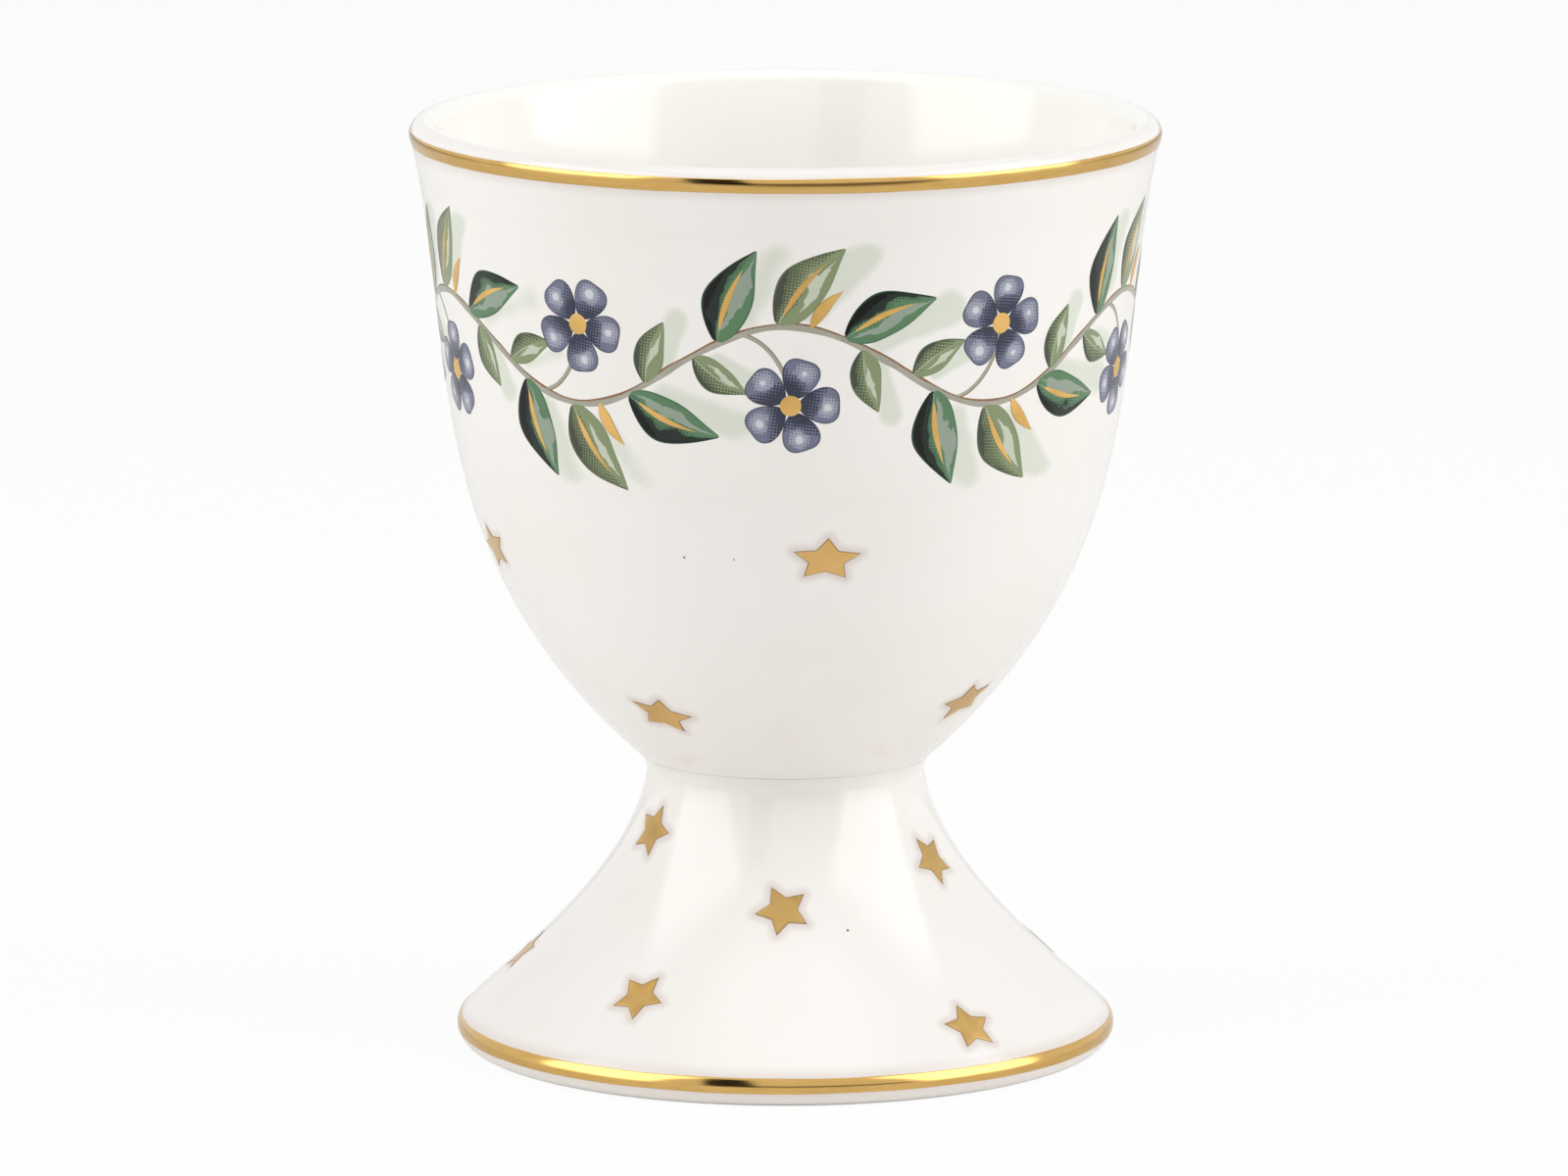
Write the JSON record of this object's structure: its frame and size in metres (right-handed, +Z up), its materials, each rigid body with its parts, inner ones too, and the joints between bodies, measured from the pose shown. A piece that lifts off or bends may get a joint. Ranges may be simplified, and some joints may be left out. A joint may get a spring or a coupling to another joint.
{
  "type": "egg cup",
  "caption": "Footed china egg cup: an open round bowl on a flared hollow foot, with gold lines at lip and foot, gold stars and a printed flowering vine.",
  "frame": {"origin": "on the table under the middle of the cup", "axes": "+Z up along the cup's axis; -Y is the side the picture shows"},
  "size_m": [0.052, 0.052, 0.065],
  "materials": {
    "china": "clear gloss glaze on warm white bone china, bare and matt on the ground standing ring",
    "slip": "clear gloss glaze, slightly pooled",
    "gold": "burnished gold, brushed on by hand and fired",
    "print_stem": "taupe printed enamel under a soft gloss",
    "print_dark_green": "dark green printed enamel with paler washes",
    "print_sage": "sage green printed enamel with screen dots",
    "print_blue": "blue violet printed enamel with screen dots",
    "print_gold": "matt printed gold"
  },
  "bodies": {
    "root": {"bowl": "china", "slip_joint": "slip", "foot": "china", "rim_gold_line": "gold", "foot_gold_line": "gold", "bowl_stars": "gold", "foot_stars": "gold", "vine_stems": "print_stem", "vine_dark_leaves": "print_dark_green", "vine_sage_leaves": "print_sage", "vine_petals": "print_blue", "vine_gold": "print_gold"}
  },
  "joints": []
}
